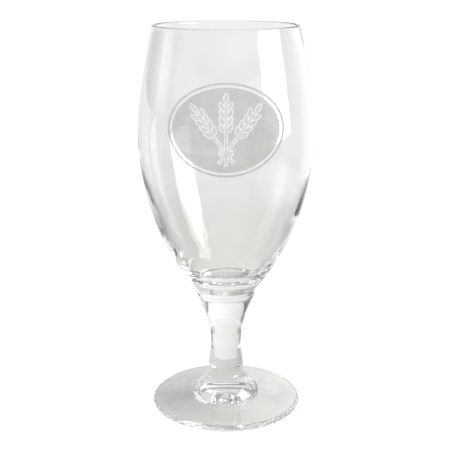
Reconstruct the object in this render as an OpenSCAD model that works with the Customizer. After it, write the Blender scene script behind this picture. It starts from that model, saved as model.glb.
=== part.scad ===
// Stemmed pint glass: a blown tulip bowl on a drawn stem and a pressed foot,
// with a frosted enamel badge fired on the front of the bowl.
// Millimetres, Z up, the front of the glass faces -Y, and it stands on Z = 0.

/* [Overall] */
// Height from the table to the top of the lip
height = 184; // [170:1:200]
// Height of the plane where the bowl is joined to the stem
bowl_joint_z = 57.5; // [54:0.5:59]
// Height of the plane where the stem is joined to the hub of the foot
foot_joint_z = 16.5; // [14:0.5:17]

/* [Bowl] */
// Radius of the belly, the widest part of the glass
belly_r = 40.8; // [38:0.1:43]
// Height of the belly above the table
belly_z = 132.6; // [126:0.2:138]
// Outer radius of the lip
rim_r = 33.7; // [31:0.1:36]
// Lean of the wall below the lip, in degrees from upright
rim_lean = 11.5; // [8:0.5:15]
// Angle of the bowl wall as it leaves the stem, in degrees from level
cup_angle = 47; // [42:1:52]
// Reach of the lower wall curve, which sets how full the bowl is
cup_reach = 39.8; // [34:0.2:44]
// Glass thickness over the belly and the upper wall
wall = 1.6; // [1.2:0.1:2.2]
// Glass thickness where the wall meets the floor of the bowl
wall_low = 3.2; // [2.4:0.1:4]
// Radius of the fire-polished lip
lip_r = 0.95; // [0.8:0.05:1.2]
// Height of the inside floor above the table
floor_z = 64.8; // [63:0.1:67]

/* [Stem] */
// Radius of the neck bead under the bowl
neck_r = 14.05; // [13:0.05:15]
// Height of the neck bead below the bowl joint
neck_bead_h = 1.6; // [1:0.1:2.4]
// Radius at the waist, the thinnest part of the stem
waist_r = 7.3; // [6.4:0.1:8.2]
// Height of the waist above the table
waist_z = 31; // [28:0.5:34]
// Radius of the swell near the bottom of the stem
swell_r = 8.45; // [8.2:0.05:9]
// Height of the swell above the table
swell_z = 19.8; // [19:0.1:21]
// Radius at the joint ring where the stem meets the hub
joint_r = 8.6; // [8:0.05:9]

/* [Foot] */
// Radius of the foot
foot_r = 36.1; // [34:0.1:38]
// Thickness of the foot at its rounded edge
edge_t = 3; // [2.4:0.1:3.6]
// Radius of the hub
hub_r = 16; // [14.5:0.1:17]
// Height of the widest part of the hub above the table
hub_z = 5.6; // [5.6:0.1:7]
// Reach of the hollow curve at the top of the hub
collar = 1.1; // [0.9:0.1:1.3]
// Height of the top of the foot where it meets the hub
web_z = 4.1; // [3.6:0.1:4.8]
// Depth of the dished underside around its recess
dish_depth = 1.3; // [0.8:0.1:1.8]
// Height of the recess under the middle of the hub, above the table
recess_h = 4.2; // [2.5:0.1:5]
// Radius of that recess
recess_r = 12; // [9:0.5:13]
// Inner radius of the flat ring that the glass rests on
rest_inner_r = 30; // [27:0.5:32]
// Outer radius of the flat ring that the glass rests on
rest_outer_r = 34.6; // [33.2:0.1:35]

/* [Badge] */
// Height of the middle of the badge above the table
badge_z = 142.5; // [138:0.5:146]
// Width of the badge, measured straight across
badge_w = 50; // [40:1:54]
// Height of the badge, measured straight up
badge_h = 40; // [32:1:42]
// Width of the clear line between the border and the field
border_gap = 1.1; // [0.6:0.1:1.6]
// Width of the border line
border_w = 0.9; // [0.6:0.1:1.4]
// Thickness of the fired enamel
enamel_t = 0.12; // [0.1:0.01:0.2]
// Pairs of grains in each barley ear of the sheaf
grain_pairs = 4; // [2:1:4]
// Lean of the outer ears of the sheaf, in degrees
ear_lean = 36; // [34:1:42]
// Width of the clear line around the sheaf
sheaf_gap = 0.5; // [0.45:0.05:0.7]

/* [Hidden] */
$fn = 96;

// A cubic Bezier curve as a list of n + 1 points, and its direction at t.
function bezier_at(p, t) =
    p[0] * pow(1 - t, 3) + 3 * p[1] * t * pow(1 - t, 2)
    + 3 * p[2] * t * t * (1 - t) + p[3] * pow(t, 3);
function slope_at(p, t) =
    (p[1] - p[0]) * pow(1 - t, 2) + 2 * (p[2] - p[1]) * t * (1 - t)
    + (p[3] - p[2]) * t * t;
function bezier(p, n, from = 0) =
    [for (i = [0:n]) bezier_at(p, from + (1 - from) * i / n)];

// The curve moved sideways, to the left of its direction, by d.
function unit(v) = v / norm(v);
function beside(p, t, d) =
    let (u = unit(slope_at(p, t))) bezier_at(p, t) + d * [-u[1], u[0]];

function arc(centre, r, a0, a1, n) =
    [for (i = [0:n]) let (a = a0 + (a1 - a0) * i / n) centre + r * [cos(a), sin(a)]];
function reversed(list) = [for (i = [len(list) - 1:-1:0]) list[i]];
function tail(list) = [for (i = [1:len(list) - 1]) list[i]];

// Outer wall: from inside the neck up to the belly, and from the belly to the lip.
cup = [
    [neck_r - 1.85, bowl_joint_z - 0.4],
    [neck_r - 1.85, bowl_joint_z - 0.4] + cup_reach * [cos(cup_angle), sin(cup_angle)],
    [belly_r, belly_z - 6.2],
    [belly_r, belly_z]
];
shoulder_reach = 0.72 * (height - belly_z);
shoulder = [
    [belly_r, belly_z],
    [belly_r, belly_z + 9],
    [rim_r + shoulder_reach * tan(rim_lean), height - lip_r - shoulder_reach],
    [rim_r, height - lip_r]
];
cup_start = 0.035;
cup_steps = 18;
shoulder_steps = 10;
cup_outer = bezier(cup, cup_steps, cup_start);
shoulder_outer = bezier(shoulder, shoulder_steps);

// Inner wall: the outer wall less the glass, thick low down and swelling into the lip.
floor_join = 0.15;
function cup_wall(t) = wall + (wall_low - wall) * pow((1 - t) / (1 - floor_join), 3);
function shoulder_wall(t) = wall + (2 * lip_r - wall) * pow(t, 12);
cup_inner = [
    for (i = [0:cup_steps])
        let (t = floor_join + (1 - floor_join) * i / cup_steps) beside(cup, t, cup_wall(t))
];
shoulder_inner = [
    for (i = [1:shoulder_steps - 1])
        let (t = i / shoulder_steps) beside(shoulder, t, shoulder_wall(t))
];
floor_end = cup_inner[0];
floor_slope = unit(slope_at(cup, floor_join));
floor_curve = bezier(
    [[0, floor_z], [8.5, floor_z], floor_end - 6.5 * floor_slope, floor_end], 8
);

module bowl_profile() {
    neck_out = [[neck_r, bowl_joint_z], [neck_r + 0.05, bowl_joint_z + 0.8]];
    lip = arc([rim_r - lip_r, height - lip_r], lip_r, 0, 180, 10);
    inner = reversed(concat(cup_inner, shoulder_inner));
    floor_in = reversed(floor_curve);
    polygon(concat(
        [[0, bowl_joint_z]],
        neck_out,
        cup_outer,
        tail(shoulder_outer),
        tail(lip),
        inner,
        tail(floor_in)
    ));
}

module bowl() {
    color([0.86, 0.90, 0.92, 0.35])
        rotate_extrude() bowl_profile();
}

// Stem: joint ring, lower swell, waist, flare and the neck bead.
module stem_profile() {
    swell = bezier([
        [joint_r, foot_joint_z],
        [joint_r, foot_joint_z + 1],
        [swell_r, swell_z - 1.6],
        [swell_r, swell_z]
    ], 4);
    lower = bezier([
        [swell_r, swell_z],
        [swell_r, swell_z + 4.5],
        [waist_r, waist_z - 5.5],
        [waist_r, waist_z]
    ], 8);
    bead_z = bowl_joint_z - neck_bead_h;
    flare = bezier([
        [waist_r, waist_z],
        [waist_r, waist_z + 9.5],
        [neck_r - 4.6, bead_z - 9.6],
        [neck_r - 0.3, bead_z]
    ], 12);
    bead = bezier([
        [neck_r - 0.3, bead_z],
        [neck_r + 0.1, bead_z + 0.5],
        [neck_r + 0.1, bead_z + 1],
        [neck_r, bowl_joint_z]
    ], 4);
    polygon(concat(
        [[0, foot_joint_z]],
        swell,
        tail(lower),
        tail(flare),
        tail(bead),
        [[0, bowl_joint_z]]
    ));
}

module stem() {
    color([0.84, 0.88, 0.90, 0.35])
        rotate_extrude() stem_profile();
}

// Foot: recessed and dished underside, flat rest ring, rounded edge, web, and the bell-shaped hub.
module foot_profile() {
    recess = bezier([
        [0, recess_h],
        [recess_r * 0.75, recess_h],
        [recess_r * 0.8, dish_depth],
        [recess_r, dish_depth]
    ], 8);
    dish = bezier([
        [recess_r, dish_depth],
        [recess_r + 4, dish_depth],
        [rest_inner_r * 0.8, 0.15],
        [rest_inner_r, 0]
    ], 6);
    edge = bezier([
        [rest_outer_r, 0],
        [foot_r + 0.45, 0.1],
        [foot_r + 0.45, edge_t],
        [foot_r - 1.4, edge_t + 0.05]
    ], 12);
    web = bezier([
        [foot_r - 1.4, edge_t + 0.05],
        [foot_r - 9, edge_t + 0.3],
        [hub_r + 4, web_z - 0.2],
        [hub_r + 0.4, web_z]
    ], 5);
    fillet = bezier([
        [hub_r + 0.4, web_z],
        [hub_r - 0.35, web_z + 0.15],
        [hub_r, hub_z - 1],
        [hub_r, hub_z]
    ], 5);
    hub = bezier([
        [hub_r, hub_z],
        [hub_r, hub_z + 2.4],
        [joint_r + 2.8, foot_joint_z - 3.9],
        [joint_r + collar, foot_joint_z - 2 * collar]
    ], 10);
    neck_fillet = bezier([
        [joint_r + collar, foot_joint_z - 2 * collar],
        [joint_r + 0.35, foot_joint_z - 1.35 * collar],
        [joint_r, foot_joint_z - collar],
        [joint_r, foot_joint_z]
    ], 6);
    polygon(concat(
        recess,
        tail(dish),
        edge,
        tail(web),
        tail(fillet),
        tail(hub),
        tail(neck_fillet),
        [[0, foot_joint_z]]
    ));
}

module foot() {
    color([0.82, 0.87, 0.88, 0.35])
        rotate_extrude() foot_profile();
}

// Enamel lies on the outer wall: a thin skin of the bowl, cut to an outline seen from the front.
module enamel_skin() {
    skin_cup = [
        for (i = [0:cup_steps])
            beside(cup, cup_start + (1 - cup_start) * i / cup_steps, -enamel_t)
    ];
    skin_shoulder = [
        for (i = [1:shoulder_steps]) beside(shoulder, i / shoulder_steps, -enamel_t)
    ];
    low = 11;
    high = 9;
    rotate_extrude()
        polygon(concat(
            [for (i = [low:cup_steps]) cup_outer[i]],
            [for (i = [1:high]) shoulder_outer[i]],
            [for (i = [high - 1:-1:0]) skin_shoulder[i]],
            [for (i = [cup_steps:-1:low]) skin_cup[i]]
        ));
}

// Children are 2-D outlines in the badge's own plane: X across, Y up, centred on the badge.
module fired_on() {
    intersection() {
        enamel_skin();
        translate([0, 0, badge_z])
            rotate([90, 0, 0])
                linear_extrude(height = belly_r + 5) children();
    }
}

function oval(w, h, n = 60) =
    [for (i = [0:n - 1]) let (a = 360 * i / n) [w / 2 * cos(a), h / 2 * sin(a)]];

module badge_border() {
    inset = 2 * border_w;
    color([0.93, 0.93, 0.91])
        fired_on()
            difference() {
                polygon(oval(badge_w, badge_h));
                polygon(oval(badge_w - inset, badge_h - inset));
            }
}

module field_outline() {
    inset = 2 * (border_w + border_gap);
    polygon(oval(badge_w - inset, badge_h - inset));
}

module badge_field() {
    color([0.88, 0.88, 0.86])
        fired_on()
            difference() {
                field_outline();
                sheaf_window();
            }
}

// A sheaf of three barley ears: straight stalks through a tie, each with paired grains.
sheaf_z = -9.5;
stalk_l = 10.2;
stalk_w = 0.7;
butt_l = 5.2;
grain_l = 3.5;
grain_w = 1.55;
grain_pitch = 3;
grain_lean = 30;

module grain(grow) {
    polygon([
        for (i = [0:11])
            let (a = 30 * i, taper = 1 - 0.25 * cos(a))
                [(grain_w / 2 + grow) * sin(a) * taper, (grain_l / 2 + grow) * cos(a)]
    ]);
}

module ear(grow) {
    tip = stalk_l + grain_pitch * grain_pairs;
    translate([-stalk_w / 2 - grow, -butt_l - grow])
        square([stalk_w + 2 * grow, tip - 1 + butt_l + grow]);
    for (i = [0:grain_pairs - 1], side = [-1, 1])
        translate([side * 1.72, stalk_l + 0.5 + i * grain_pitch])
            rotate(-side * grain_lean) grain(grow);
    translate([0, tip + 1.1]) grain(grow);
}

module tie(grow) {
    translate([-2.6 - grow, -0.8 - grow])
        square([5.2 + 2 * grow, 1.6 + 2 * grow]);
}

module sheaf() {
    translate([0, sheaf_z]) {
        for (lean = [-ear_lean, 0, ear_lean])
            rotate(lean) ear(0);
        tie(0);
    }
}

// The clear window that the sheaf lies in, with no slivers left between its grains.
module sheaf_window() {
    translate([0, sheaf_z]) {
        for (lean = [-ear_lean, 0, ear_lean])
            rotate(lean) {
                ear(sheaf_gap);
                translate([-1.4, stalk_l + 0.5])
                    square([2.8, grain_pitch * (grain_pairs - 1)]);
            }
        tie(sheaf_gap);
    }
}

module badge_sheaf() {
    color([0.97, 0.97, 0.95])
        fired_on() sheaf();
}

bowl();
stem();
foot();
badge_border();
badge_field();
badge_sheaf();
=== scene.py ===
"""Stemmed pint glass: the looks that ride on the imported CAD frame.

Outlines are in millimetres and everything else is in metres. Z is up, the glass stands on Z = 0
and its front, with the badge, is at -Y.
"""

import math

import bpy
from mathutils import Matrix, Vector, noise


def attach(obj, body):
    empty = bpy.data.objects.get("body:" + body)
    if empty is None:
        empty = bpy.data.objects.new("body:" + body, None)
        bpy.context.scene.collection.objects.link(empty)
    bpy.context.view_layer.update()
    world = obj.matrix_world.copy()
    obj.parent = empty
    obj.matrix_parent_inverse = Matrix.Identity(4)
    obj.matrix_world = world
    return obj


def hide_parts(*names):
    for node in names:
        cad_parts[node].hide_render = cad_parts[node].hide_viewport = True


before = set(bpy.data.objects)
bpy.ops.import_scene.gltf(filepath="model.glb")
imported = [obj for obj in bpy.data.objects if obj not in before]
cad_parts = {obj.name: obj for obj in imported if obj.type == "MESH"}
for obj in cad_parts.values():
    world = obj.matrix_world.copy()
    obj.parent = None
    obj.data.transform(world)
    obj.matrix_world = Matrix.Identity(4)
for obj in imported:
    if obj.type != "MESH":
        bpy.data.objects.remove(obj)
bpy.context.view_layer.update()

MM = 0.001
# Steps round the axis, along the bowl's long walls, and round the half circle of its lip.
TURNS, WALL_STEPS, LIP_STEPS = 192, 64, 20

# The same driving sizes as the CAD design.
HEIGHT, BOWL_JOINT_Z, FOOT_JOINT_Z = 184.0, 57.5, 16.5
BELLY_R, BELLY_Z, RIM_R, LIP_R = 40.8, 132.6, 33.7, 0.95
CUP_REACH, CUP_ANGLE, RIM_LEAN = 39.8, math.radians(47), math.radians(11.5)
WALL, WALL_LOW, FLOOR_Z, FLOOR_JOIN, FLOOR_REACH = 1.6, 3.2, 64.8, 0.15, 6.5
NECK_R, NECK_BEAD_H, WAIST_R, WAIST_Z = 14.05, 1.6, 7.3, 31.0
SWELL_R, SWELL_Z, JOINT_R, COLLAR = 8.45, 19.8, 8.6, 1.1
FOOT_R, EDGE_T, HUB_R, HUB_Z, WEB_Z = 36.1, 3.0, 16.0, 5.6, 4.1
DISH, RECESS_H, RECESS_R, REST_INNER_R, REST_OUTER_R = 1.3, 4.2, 12.0, 30.0, 34.6


# ---------------------------------------------------------------- curves
def bezier_at(p, t):
    a, b, c, d = (1 - t) ** 3, 3 * t * (1 - t) ** 2, 3 * t * t * (1 - t), t**3
    return tuple(a * p[0][i] + b * p[1][i] + c * p[2][i] + d * p[3][i] for i in (0, 1))


def slope_at(p, t):
    """The curve's direction at t, of length 1."""
    a, b, c = (1 - t) ** 2, 2 * t * (1 - t), t * t
    v = [
        a * (p[1][i] - p[0][i]) + b * (p[2][i] - p[1][i]) + c * (p[3][i] - p[2][i])
        for i in (0, 1)
    ]
    n = math.hypot(*v)
    return v[0] / n, v[1] / n


def bezier(p, n, start=0.0):
    return [bezier_at(p, start + (1 - start) * i / n) for i in range(n + 1)]


def beside(p, t, d):
    """The curve's point at t, moved d to the left of its direction."""
    (x, y), (u, v) = bezier_at(p, t), slope_at(p, t)
    return x - v * d, y + u * d


def joined(*runs):
    """Runs of points as one list, without the points where one run repeats the last."""
    out = []
    for run in runs:
        for q in run:
            if not out or math.dist(q, out[-1]) > 1e-6:
                out.append(q)
    return out


# The outer wall from inside the neck up to the belly, and from the belly to the lip.
CUP_FOOT = (NECK_R - 1.85, BOWL_JOINT_Z - 0.4)
CUP = [
    CUP_FOOT,
    (
        CUP_FOOT[0] + CUP_REACH * math.cos(CUP_ANGLE),
        CUP_FOOT[1] + CUP_REACH * math.sin(CUP_ANGLE),
    ),
    (BELLY_R, BELLY_Z - 6.2),
    (BELLY_R, BELLY_Z),
]
CUP_START = 0.035
SHOULDER_REACH = 0.72 * (HEIGHT - BELLY_Z)
SHOULDER = [
    (BELLY_R, BELLY_Z),
    (BELLY_R, BELLY_Z + 9),
    (RIM_R + SHOULDER_REACH * math.tan(RIM_LEAN), HEIGHT - LIP_R - SHOULDER_REACH),
    (RIM_R, HEIGHT - LIP_R),
]


def cup_wall(t):
    return WALL + (WALL_LOW - WALL) * ((1 - t) / (1 - FLOOR_JOIN)) ** 3


def shoulder_wall(t):
    return WALL + (2 * LIP_R - WALL) * t**12


# ---------------------------------------------------------------- outlines
def bowl_outline():
    """Outer wall from the joint up, over the lip and down the inside to the middle of the floor."""
    neck = bezier(
        [
            (NECK_R, BOWL_JOINT_Z),
            (NECK_R + 0.05, BOWL_JOINT_Z + 0.9),
            (NECK_R + 0.3, BOWL_JOINT_Z + 2.0),
            bezier_at(CUP, CUP_START),
        ],
        10,
    )
    cup = bezier(CUP, WALL_STEPS, CUP_START)
    shoulder = bezier(SHOULDER, WALL_STEPS)
    lip = []
    for i in range(LIP_STEPS + 1):
        a = math.pi * i / LIP_STEPS
        lip.append((RIM_R - LIP_R + LIP_R * math.cos(a), HEIGHT - LIP_R + LIP_R * math.sin(a)))
    inside = []
    for i in range(WALL_STEPS - 1, 0, -1):
        t = i / WALL_STEPS
        inside.append(beside(SHOULDER, t, shoulder_wall(t)))
    down = []
    for i in range(WALL_STEPS, -1, -1):
        t = FLOOR_JOIN + (1 - FLOOR_JOIN) * i / WALL_STEPS
        down.append(beside(CUP, t, cup_wall(t)))
    end, slope = down[-1], slope_at(CUP, FLOOR_JOIN)
    floor = bezier(
        [
            (0.0, FLOOR_Z),
            (8.5, FLOOR_Z),
            (end[0] - FLOOR_REACH * slope[0], end[1] - FLOOR_REACH * slope[1]),
            end,
        ],
        28,
    )
    return joined(neck, cup, shoulder, lip, inside, down, floor[::-1])


def stem_outline():
    """Joint ring, lower swell, waist, flare and the neck bead."""
    bead_z = BOWL_JOINT_Z - NECK_BEAD_H
    swell = bezier(
        [
            (JOINT_R, FOOT_JOINT_Z),
            (JOINT_R, FOOT_JOINT_Z + 1),
            (SWELL_R, SWELL_Z - 1.6),
            (SWELL_R, SWELL_Z),
        ],
        12,
    )
    lower = bezier(
        [
            (SWELL_R, SWELL_Z),
            (SWELL_R, SWELL_Z + 4.5),
            (WAIST_R, WAIST_Z - 5.5),
            (WAIST_R, WAIST_Z),
        ],
        24,
    )
    flare = bezier(
        [
            (WAIST_R, WAIST_Z),
            (WAIST_R, WAIST_Z + 9.5),
            (NECK_R - 4.6, bead_z - 9.6),
            (NECK_R - 0.3, bead_z),
        ],
        40,
    )
    bead = bezier(
        [
            (NECK_R - 0.3, bead_z),
            (NECK_R + 0.1, bead_z + 0.5),
            (NECK_R + 0.1, bead_z + 1),
            (NECK_R, BOWL_JOINT_Z),
        ],
        10,
    )
    return joined(swell, lower, flare, bead)


def foot_outline():
    """Recessed and dished underside, flat rest ring, rounded edge, web and the bell-shaped hub."""
    recess = bezier(
        [
            (0.0, RECESS_H),
            (RECESS_R * 0.75, RECESS_H),
            (RECESS_R * 0.8, DISH),
            (RECESS_R, DISH),
        ],
        24,
    )
    dish = bezier(
        [
            (RECESS_R, DISH),
            (RECESS_R + 4, DISH),
            (REST_INNER_R * 0.8, 0.15),
            (REST_INNER_R, 0.0),
        ],
        24,
    )
    edge = bezier(
        [
            (REST_OUTER_R, 0.0),
            (FOOT_R + 0.45, 0.1),
            (FOOT_R + 0.45, EDGE_T),
            (FOOT_R - 1.4, EDGE_T + 0.05),
        ],
        24,
    )
    web = bezier(
        [
            (FOOT_R - 1.4, EDGE_T + 0.05),
            (FOOT_R - 9, EDGE_T + 0.3),
            (HUB_R + 4, WEB_Z - 0.2),
            (HUB_R + 0.4, WEB_Z),
        ],
        16,
    )
    fillet = bezier(
        [
            (HUB_R + 0.4, WEB_Z),
            (HUB_R - 0.35, WEB_Z + 0.15),
            (HUB_R, HUB_Z - 1),
            (HUB_R, HUB_Z),
        ],
        12,
    )
    hub = bezier(
        [
            (HUB_R, HUB_Z),
            (HUB_R, HUB_Z + 2.4),
            (JOINT_R + 2.8, FOOT_JOINT_Z - 3.9),
            (JOINT_R + COLLAR, FOOT_JOINT_Z - 2 * COLLAR),
        ],
        24,
    )
    neck_fillet = bezier(
        [
            (JOINT_R + COLLAR, FOOT_JOINT_Z - 2 * COLLAR),
            (JOINT_R + 0.35, FOOT_JOINT_Z - 1.35 * COLLAR),
            (JOINT_R, FOOT_JOINT_Z - COLLAR),
            (JOINT_R, FOOT_JOINT_Z),
        ],
        16,
    )
    return joined(recess, dish, edge, web, fillet, hub, neck_fillet)


# ---------------------------------------------------------------- meshes
def mesh_object(name, verts, faces):
    """A smooth object from points in millimetres."""
    mesh = bpy.data.meshes.new(name)
    mesh.from_pydata([Vector(v) * MM for v in verts], [], faces)
    mesh.update()
    mesh.shade_smooth()
    made = bpy.data.objects.new(name, mesh)
    bpy.context.scene.collection.objects.link(made)
    return made


def turned(name, outline, sway=None):
    """Turns an outline, which may start or end on the axis, into a mesh about Z.
    sway(step, angle, z) is how far out the point of the outline's given step moves."""
    verts, rings = [], []
    for step, (r, z) in enumerate(outline):
        if r < 1e-6:
            rings.append([len(verts)])
            verts.append((0.0, 0.0, z))
            continue
        rings.append(list(range(len(verts), len(verts) + TURNS)))
        for k in range(TURNS):
            a = 2 * math.pi * k / TURNS
            q = r + (sway(step, a, z) if sway else 0.0)
            verts.append((q * math.cos(a), q * math.sin(a), z))
    faces = []
    for lower, upper in zip(rings, rings[1:]):
        for k in range(TURNS):
            m = (k + 1) % TURNS
            if len(lower) == 1:
                faces.append((lower[0], upper[m], upper[k]))
            elif len(upper) == 1:
                faces.append((lower[k], lower[m], upper[0]))
            else:
                faces.append((lower[k], lower[m], upper[m], upper[k]))
    return mesh_object(name, verts, faces)


def hump(z, low, high):
    """0 outside low to high and 1 in the middle, smooth."""
    t = min(max((z - low) / (high - low), 0.0), 1.0)
    return math.sin(math.pi * t) ** 2


def blown_bowl():
    """The bowl, whose inside has slow and quick waves that fade out towards the belly and floor."""
    outline = bowl_outline()
    top = max(range(len(outline)), key=lambda i: outline[i][1])

    def wave(step, angle, z):
        if step < top + LIP_STEPS / 2:
            return 0.0
        x, y = math.cos(angle), math.sin(angle)
        slow = noise.noise(Vector((1.5 * x, 1.5 * y, z / 17.0)))
        quick = noise.noise(Vector((5.0 * x, 5.0 * y, z / 8.0)))
        return 0.45 * hump(z, 66, 128) * slow + 0.09 * hump(z, 72, 122) * quick

    return turned("glass_bowl", outline, wave)


# ---------------------------------------------------------------- node helpers
def feed(tree, socket, value):
    """Sets a socket to a number, or links it to another node's output."""
    if isinstance(value, (int, float)):
        socket.default_value = value
    else:
        tree.links.new(value, socket)


def calc(tree, operation, *values):
    """A math node's result; each value is a number or another node's output."""
    node = tree.nodes.new("ShaderNodeMath")
    node.operation = operation
    for socket, value in zip(node.inputs, values):
        feed(tree, socket, value)
    return node.outputs[0]


def product(tree, *values):
    result = values[0]
    for value in values[1:]:
        result = calc(tree, "MULTIPLY", result, value)
    return result


def ease(tree, value, start, end):
    """0 below start, 1 above end, smooth between."""
    node = tree.nodes.new("ShaderNodeMapRange")
    node.interpolation_type = "SMOOTHSTEP"
    tree.links.new(value, node.inputs["Value"])
    node.inputs["From Min"].default_value = start
    node.inputs["From Max"].default_value = end
    return node.outputs["Result"]


def between(tree, mix, low, high):
    """low where mix is 0 and high where it is 1."""
    node = tree.nodes.new("ShaderNodeMapRange")
    node.clamp = False
    for name, value in (("Value", mix), ("To Min", low), ("To Max", high)):
        feed(tree, node.inputs[name], value)
    return node.outputs["Result"]


def ramp(tree, value, *stops):
    """The colour that a value has on a ramp; each stop is a value and its colour."""
    node = tree.nodes.new("ShaderNodeValToRGB")
    band = node.color_ramp
    while len(band.elements) < len(stops):
        band.elements.new(0.5)
    for element, (at, colour) in zip(band.elements, stops):
        element.position, element.color = at, (*colour, 1)
    tree.links.new(value, node.inputs["Fac"])
    return node.outputs["Color"]


def mixed_shaders(tree, share, first, second):
    """A mix of two shaders, with share of the second."""
    node = tree.nodes.new("ShaderNodeMixShader")
    for socket, value in zip(node.inputs, (share, first, second)):
        feed(tree, socket, value)
    return node.outputs[0]


def axes_of(tree, vector):
    """A vector's X, Y and Z."""
    node = tree.nodes.new("ShaderNodeSeparateXYZ")
    tree.links.new(vector, node.inputs[0])
    return node.outputs


def from_axis(tree, at):
    """How far a place or a direction is from the glass's axis."""
    squares = [calc(tree, "MULTIPLY", at[axis], at[axis]) for axis in "XY"]
    return calc(tree, "SQRT", calc(tree, "ADD", *squares))


def lengthwise(tree, at):
    """1 straight before or behind the axis, and 0 straight beside it."""
    xx, yy = [calc(tree, "MULTIPLY", at[axis], at[axis]) for axis in "XY"]
    return calc(tree, "DIVIDE", yy, calc(tree, "ADD", calc(tree, "ADD", xx, yy), 1e-6))


def noise_at(tree, per_metre, detail=3.0, roughness=0.5, stretch=(1, 1, 1)):
    """Noise fixed to the glass, with per_metre waves to the metre before stretch, around 0.5."""
    place = tree.nodes.new("ShaderNodeTexCoord").outputs["Object"]
    scaled = tree.nodes.new("ShaderNodeVectorMath")
    scaled.operation = "MULTIPLY"
    tree.links.new(place, scaled.inputs[0])
    scaled.inputs[1].default_value = stretch
    node = tree.nodes.new("ShaderNodeTexNoise")
    tree.links.new(scaled.outputs[0], node.inputs["Vector"])
    node.inputs["Scale"].default_value = per_metre
    node.inputs["Detail"].default_value = detail
    node.inputs["Roughness"].default_value = roughness
    return node.outputs["Fac"]


def drawn_lines(tree):
    """Fine lines along the glass's axis."""
    return noise_at(tree, 420, 2, 0.5, (1, 1, 0.03))


def bumped(tree, bsdf, height, distance, under=None):
    """Bumps the shader's surface by height, which is worth distance metres."""
    node = tree.nodes.new("ShaderNodeBump")
    node.inputs["Distance"].default_value = distance
    tree.links.new(height, node.inputs["Height"])
    if under:
        tree.links.new(under, node.inputs["Normal"])
    tree.links.new(node.outputs["Normal"], bsdf.inputs["Normal"])
    return node.outputs["Normal"]


# ---------------------------------------------------------------- materials
def material(name):
    mat = bpy.data.materials.new(name)
    mat.use_nodes = True
    return mat, mat.node_tree, mat.node_tree.nodes["Principled BSDF"]


def glass(name, colour, shade_tint, ripple, ripple_size, haze, streak=0.0):
    """Clear glass, with a colour painted as shade towards one end, given after its own colour with
    the way that is, up or out, and where in metres the shade starts and is complete; at the foot's
    edge that colour is also the green of the glass itself. ripple and streak are the heights in
    metres of its slow waves and of its drawn lines, ripple_size is the waves to the metre, and haze
    is the roughness of its wiping marks."""
    mat, tree, bsdf = material(name)
    bsdf.inputs["Transmission Weight"].default_value = 1.0
    bsdf.inputs["IOR"].default_value = 1.51
    paler = [1 - (1 - c) * 0.45 for c in colour]
    rosy = (colour[0] + 0.006, colour[1] - 0.004, colour[2] + 0.003)
    lines = calc(tree, "MULTIPLY", drawn_lines(tree), 0.45)
    clouds = calc(tree, "MULTIPLY", noise_at(tree, 38, 2), 0.55)
    mixed = calc(tree, "ADD", lines, clouds)
    tint = ramp(tree, mixed, (0.42, colour), (0.48, rosy), (0.58, paler))
    shade_colour, way, start, end = shade_tint
    at = axes_of(tree, tree.nodes.new("ShaderNodeTexCoord").outputs["Object"])
    place = from_axis(tree, at) if way == "out" else at["Z"]
    # Painted shade: towards one end the glass takes the darker colour.
    shade_mix = tree.nodes.new("ShaderNodeMix")
    shade_mix.data_type = "RGBA"
    clear_end, shade_end = [s for s in shade_mix.inputs if s.type == "RGBA"]
    tree.links.new(ease(tree, place, start, end), shade_mix.inputs["Factor"])
    tree.links.new(tint, clear_end)
    shade_end.default_value = (*shade_colour, 1)
    blend = next(s for s in shade_mix.outputs if s.type == "RGBA")
    tree.links.new(blend, bsdf.inputs["Base Color"])
    smear = ease(tree, noise_at(tree, 60, 5, 0.65, (1, 1, 0.45)), 0.52, 0.78)
    tree.links.new(calc(tree, "MULTIPLY", smear, haze), bsdf.inputs["Roughness"])
    waves = bumped(tree, bsdf, noise_at(tree, ripple_size, 1.5), ripple)
    if streak:
        bumped(tree, bsdf, drawn_lines(tree), streak, waves)
    return mat


def enamel(name, colour, clear):
    """Frosted enamel fired on glass: sandy grain, slight mottling and a share that is clear."""
    mat, tree, bsdf = material(name)
    grain = noise_at(tree, 2600, 4, 0.7)
    sand = calc(tree, "MULTIPLY", grain, 0.7)
    mottling = calc(tree, "MULTIPLY", noise_at(tree, 160, 3), 0.3)
    shade = calc(tree, "ADD", sand, mottling)
    darker = [c * 0.9 for c in colour]
    lighter = [min(c * 1.08, 1.0) for c in colour]
    tint = ramp(tree, shade, (0.36, darker), (0.64, lighter))
    tree.links.new(tint, bsdf.inputs["Base Color"])
    tree.links.new(between(tree, grain, 0.42, 0.7), bsdf.inputs["Roughness"])
    bumped(tree, bsdf, grain, 0.00002)
    through = tree.nodes.new("ShaderNodeBsdfTranslucent")
    tree.links.new(tint, through.inputs["Color"])
    seen = tree.nodes.new("ShaderNodeBsdfTransparent")
    share = between(tree, shade, clear + 0.14, clear - 0.14)
    body = mixed_shaders(tree, 0.5, bsdf.outputs[0], through.outputs[0])
    whole = mixed_shaders(tree, share, body, seen.outputs[0])
    tree.links.new(whole, tree.nodes["Material Output"].inputs["Surface"])
    return mat


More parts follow.
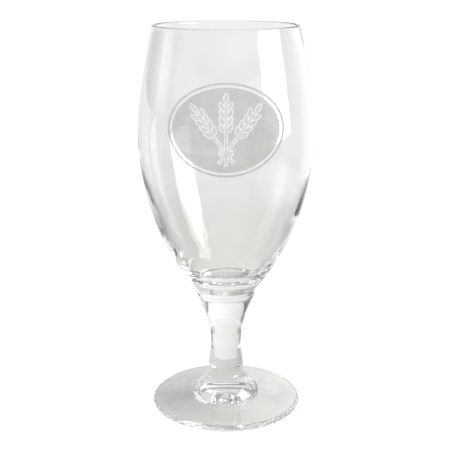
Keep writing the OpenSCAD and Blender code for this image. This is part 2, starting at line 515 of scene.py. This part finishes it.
# ---------------------------------------------------------------- pieces
bowl_glass = glass(
    "bowl_glass",
    colour=(0.980, 0.982, 0.988),
    # Painted shade: the lower bowl turns a darker warm grey.
    shade_tint=((0.935, 0.938, 0.925), "up", 0.135, 0.070),
    ripple=0.00030,
    ripple_size=30,
    haze=0.05,
    streak=0.0000012,
)
stem_glass = glass(
    "stem_glass",
    colour=(0.975, 0.980, 0.982),
    # Painted shade: the stem darkens towards its joint with the foot.
    shade_tint=((0.94, 0.95, 0.945), "up", 0.026, 0.014),
    ripple=0.00020,
    ripple_size=60,
    haze=0.03,
    streak=0.0000020,
)
foot_glass = glass(
    "foot_glass",
    colour=(0.955, 0.968, 0.955),
    # The foot's edge is glass-green, and darker still as painted shade.
    shade_tint=((0.73, 0.785, 0.755), "out", 0.0338, 0.0360),
    ripple=0.00015,
    ripple_size=90,
    haze=0.06,
)
for piece, node, finish in (
    (blown_bowl(), "bowl", bowl_glass),
    (turned("glass_stem", stem_outline()), "stem", stem_glass),
    (turned("glass_foot", foot_outline()), "foot", foot_glass),
):
    piece.data.materials.append(finish)
    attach(piece, "root")
    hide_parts(node)

for node, colour, clear in (
    ("badge_border", (0.88, 0.885, 0.875), 0.42),
    ("badge_field", (0.87, 0.87, 0.835), 0.48),
    ("badge_sheaf", (0.97, 0.97, 0.96), 0.30),
):
    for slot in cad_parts[node].material_slots:
        slot.material = enamel(node + "_enamel", colour, clear)

# ---------------------------------------------------------------- stage
# The camera sees a white table and a white studio. All other rays see the grey ones below.
# Half the table's side, and how far it lies under the glass, in millimetres.
TABLE_HALF, TABLE_DROP = 9000, 0.2

# The table's colour by the distance from the glass's axis: grey, with a painted shadow that darkens
# it under the foot.
TABLE_TONES_AND_SHADOW = (
    (0.020, (0.66, 0.66, 0.635)),
    (0.034, (0.74, 0.74, 0.72)),
    (0.040, (0.86, 0.86, 0.84)),
    (0.060, (0.90, 0.90, 0.885)),
    (0.120, (0.91, 0.91, 0.89)),
    (0.300, (0.89, 0.89, 0.87)),
    (0.600, (0.93, 0.93, 0.94)),
)
# Dim parts of the table: where they start and end by distance, how far they reach from its sides
# towards its front and back, and how much of the light is left. The last ends past its corners.
TABLE_DIM = (
    ((0.115, 0.16), (0.36, 0.26), (0.85, 0.5), 0.62),
    ((0.05, 0.07), (0.26, 0.18), (0.55, 0.2), 0.22),
    ((0.26, 0.40), (14.0, 13.0), (0.3, 0.05), 0.4),
)
# The pool of light on the table, and the band of light from the window on the left.
POOL_AT, POOL_LEVEL = (0.30, -0.08, 0), 0.8
BAND_BEARING, BAND_LEVEL = math.radians(-84), 0.2

# The studio wall's brightness, by the sine of the elevation.
WALL_TONES = (
    (0.0, 0.98), (0.19, 1.0), (0.215, 0.92), (0.235, 0.30), (0.265, 0.30), (0.29, 0.78),
    (0.38, 0.84), (0.42, 0.42), (0.47, 0.42), (0.50, 0.72), (0.68, 0.80), (0.76, 0.83),
    (0.82, 0.30), (0.88, 0.30), (0.93, 0.85), (1.0, 0.92),
)
# Windows in it: azimuth from +Y towards +X, half the width, the softness of the edges and the lowest
# and highest elevation, all in degrees, and brightness.
WINDOWS = ((14, 8, 4, 17, 24, 0.25), (-84, 11, 5, 2, 34, 1.3))


def camera_sees(tree, white, grey, output):
    """Ends a node tree that is white to the camera and grey to all other rays."""
    direct = tree.nodes.new("ShaderNodeLightPath").outputs["Is Camera Ray"]
    tree.links.new(mixed_shaders(tree, direct, grey, white), tree.nodes[output].inputs["Surface"])


def table_dimming(tree, place, away):
    """The painted shade and light on the table: how much of its own light it has, by place."""
    along = lengthwise(tree, place)
    reach = calc(tree, "ADD", away, 1e-3)
    right = calc(tree, "DIVIDE", place["X"], reach)
    back = calc(tree, "DIVIDE", place["Y"], reach)
    dim = 1.0
    for inner, outer, sides, left in TABLE_DIM:
        ends = [ease(tree, away, *inner), ease(tree, away, *outer)]
        part = product(tree, *ends, ease(tree, along, *sides))
        dim = calc(tree, "MULTIPLY", dim, between(tree, part, 1.0, left))
    # Painted shade: past the foot the table darkens towards the front.
    front = between(tree, ease(tree, back, -0.1, -0.6), 1.0, 0.45)
    outside = between(tree, ease(tree, away, 0.036, 0.05), 1.0, front)
    # Painted light: the table grows brighter towards the right, where the key light falls.
    rising = calc(tree, "ADD", calc(tree, "MULTIPLY", right, 0.22), 1.0)
    return product(tree, dim, outside, rising)


def table_lights(tree, position, place, away):
    """The light that is added to the table: a pool on the right and a band on the left."""
    pool = tree.nodes.new("ShaderNodeVectorMath")
    pool.operation = "DISTANCE"
    tree.links.new(position, pool.inputs[0])
    pool.inputs[1].default_value = POOL_AT
    lit = between(tree, ease(tree, pool.outputs["Value"], 0.08, 0.20), POOL_LEVEL, 0.0)
    bearing = calc(tree, "ARCTAN2", place["X"], place["Y"])
    aside = calc(tree, "ABSOLUTE", calc(tree, "SUBTRACT", bearing, BAND_BEARING))
    band = ease(tree, aside, math.radians(16), math.radians(6))
    return calc(tree, "ADD", lit, product(tree, band, ease(tree, away, 0.2, 0.32), BAND_LEVEL))


def table_material():
    mat, tree, white = material("stage_floor")
    white.inputs["Base Color"].default_value = (0.12, 0.12, 0.12, 1)
    white.inputs["Roughness"].default_value = 0.9
    white.inputs["Specular IOR Level"].default_value = 0.0
    white.inputs["Emission Color"].default_value = (1, 1, 1, 1)
    white.inputs["Emission Strength"].default_value = 0.97
    position = tree.nodes.new("ShaderNodeNewGeometry").outputs["Position"]
    place = axes_of(tree, position)
    away = from_axis(tree, place)
    grey = tree.nodes.new("ShaderNodeEmission")
    # The table's grey, darker under the foot as painted shadow.
    tree.links.new(ramp(tree, away, *TABLE_TONES_AND_SHADOW), grey.inputs["Color"])
    lights = table_lights(tree, position, place, away)
    strength = calc(tree, "ADD", table_dimming(tree, place, away), lights)
    tree.links.new(strength, grey.inputs["Strength"])
    camera_sees(tree, white.outputs[0], grey.outputs[0], "Material Output")
    return mat


def window(tree, toward, middle, half, soft, low, high, level):
    """The brightness of one of WINDOWS, by direction."""

    def sine(degrees):
        return math.sin(math.radians(degrees))

    azimuth = calc(tree, "ARCTAN2", toward["X"], toward["Y"])
    side = calc(tree, "ABSOLUTE", calc(tree, "SUBTRACT", azimuth, math.radians(middle)))
    inside = ease(tree, side, math.radians(half + soft), math.radians(half - soft))
    above = ease(tree, toward["Z"], sine(low - soft), sine(low + soft))
    below = ease(tree, toward["Z"], sine(high + soft), sine(high - soft))
    return product(tree, inside, above, below, level)


def studio():
    """The world: wall tones that are dim at the sides, brighter on the right, and windows."""
    world = bpy.data.worlds.new("studio")
    world.use_nodes = True
    tree = world.node_tree
    toward = axes_of(tree, tree.nodes.new("ShaderNodeTexCoord").outputs["Generated"])
    tones = [(at, (level, level, level * 1.005)) for at, level in WALL_TONES]
    across = calc(tree, "ADD", lengthwise(tree, toward), calc(tree, "MULTIPLY", toward["X"], 0.25))
    dim = between(tree, ease(tree, across, 0.15, 0.6), 0.15, 1.0)
    dim = between(tree, ease(tree, toward["Z"], 0.5, 0.85), dim, 1.0)
    right = calc(tree, "DIVIDE", toward["X"], from_axis(tree, toward))
    rising = calc(tree, "MINIMUM", calc(tree, "MULTIPLY", right, 0.45), 0.13)
    strength = calc(tree, "MULTIPLY", dim, calc(tree, "ADD", rising, 1.0))
    for each in WINDOWS:
        strength = calc(tree, "ADD", strength, window(tree, toward, *each))
    grey = tree.nodes["Background"]
    tree.links.new(ramp(tree, toward["Z"], *tones), grey.inputs["Color"])
    tree.links.new(strength, grey.inputs["Strength"])
    white = tree.nodes.new("ShaderNodeBackground")
    white.inputs["Color"].default_value = (1, 1, 1, 1)
    camera_sees(tree, white.outputs[0], grey.outputs[0], "World Output")
    return world


def softbox(name, at, look, size_x, size_y, power):
    light = bpy.data.lights.new(name, "AREA")
    light.shape, light.size, light.size_y, light.energy = "RECTANGLE", size_x, size_y, power
    holder = bpy.data.objects.new(name, light)
    bpy.context.scene.collection.objects.link(holder)
    holder.location = at
    holder.rotation_euler = (Vector(look) - Vector(at)).to_track_quat("-Z", "Y").to_euler()
    holder.visible_camera = False
    return holder


def only_mirrored(light):
    """Glass mirrors the light but doesn't show it straight through, where it would be as white as
    the background and hide the outline."""
    light.use_nodes = True
    tree = light.node_tree
    mirrored = tree.nodes.new("ShaderNodeLightPath").outputs["Glossy Depth"]
    strength = calc(tree, "MINIMUM", mirrored, 1.0)
    tree.links.new(strength, tree.nodes["Emission"].inputs["Strength"])


square = ((-1, -1), (1, -1), (1, 1), (-1, 1))
corners = [(x * TABLE_HALF, y * TABLE_HALF, -TABLE_DROP) for x, y in square]
floor = mesh_object("stage_floor", corners, [(0, 1, 2, 3)])
floor.data.materials.append(table_material())
bpy.context.scene.world = studio()

key = softbox("key_right", (0.61, -0.235, 0.27), (0, 0, 0.15), 0.42, 0.50, 4.5)
key.rotation_euler.rotate_axis("Z", math.radians(8))
key.visible_diffuse = False
only_mirrored(key.data)
fill = softbox("fill_front", (-0.35, -1.05, 0.6), (0, 0, 0.13), 1.2, 1.0, 14)
fill.visible_glossy = False
fill.visible_transmission = False

# ---------------------------------------------------------------- camera
# The focal length in picture widths, where the picture is 452 wide, and the tilt below level.
FOCAL_WIDTHS = 949.0 / 452
TILT = math.radians(15.53)

view = bpy.data.cameras.new("camera")
view.sensor_width = 36.0
view.lens = FOCAL_WIDTHS * view.sensor_width
camera = bpy.data.objects.new("camera", view)
bpy.context.scene.collection.objects.link(camera)
camera.location = (0.0, -0.436, 0.211)
camera.rotation_euler = (math.pi / 2 - TILT, 0, 0)
bpy.context.scene.camera = camera
bpy.context.scene.view_settings.view_transform = "Standard"
# Light is mirrored many times inside the thick glass of the foot and stem.
for kind in ("max_bounces", "transmission_bounces", "glossy_bounces"):
    setattr(bpy.context.scene.cycles, kind, 48)
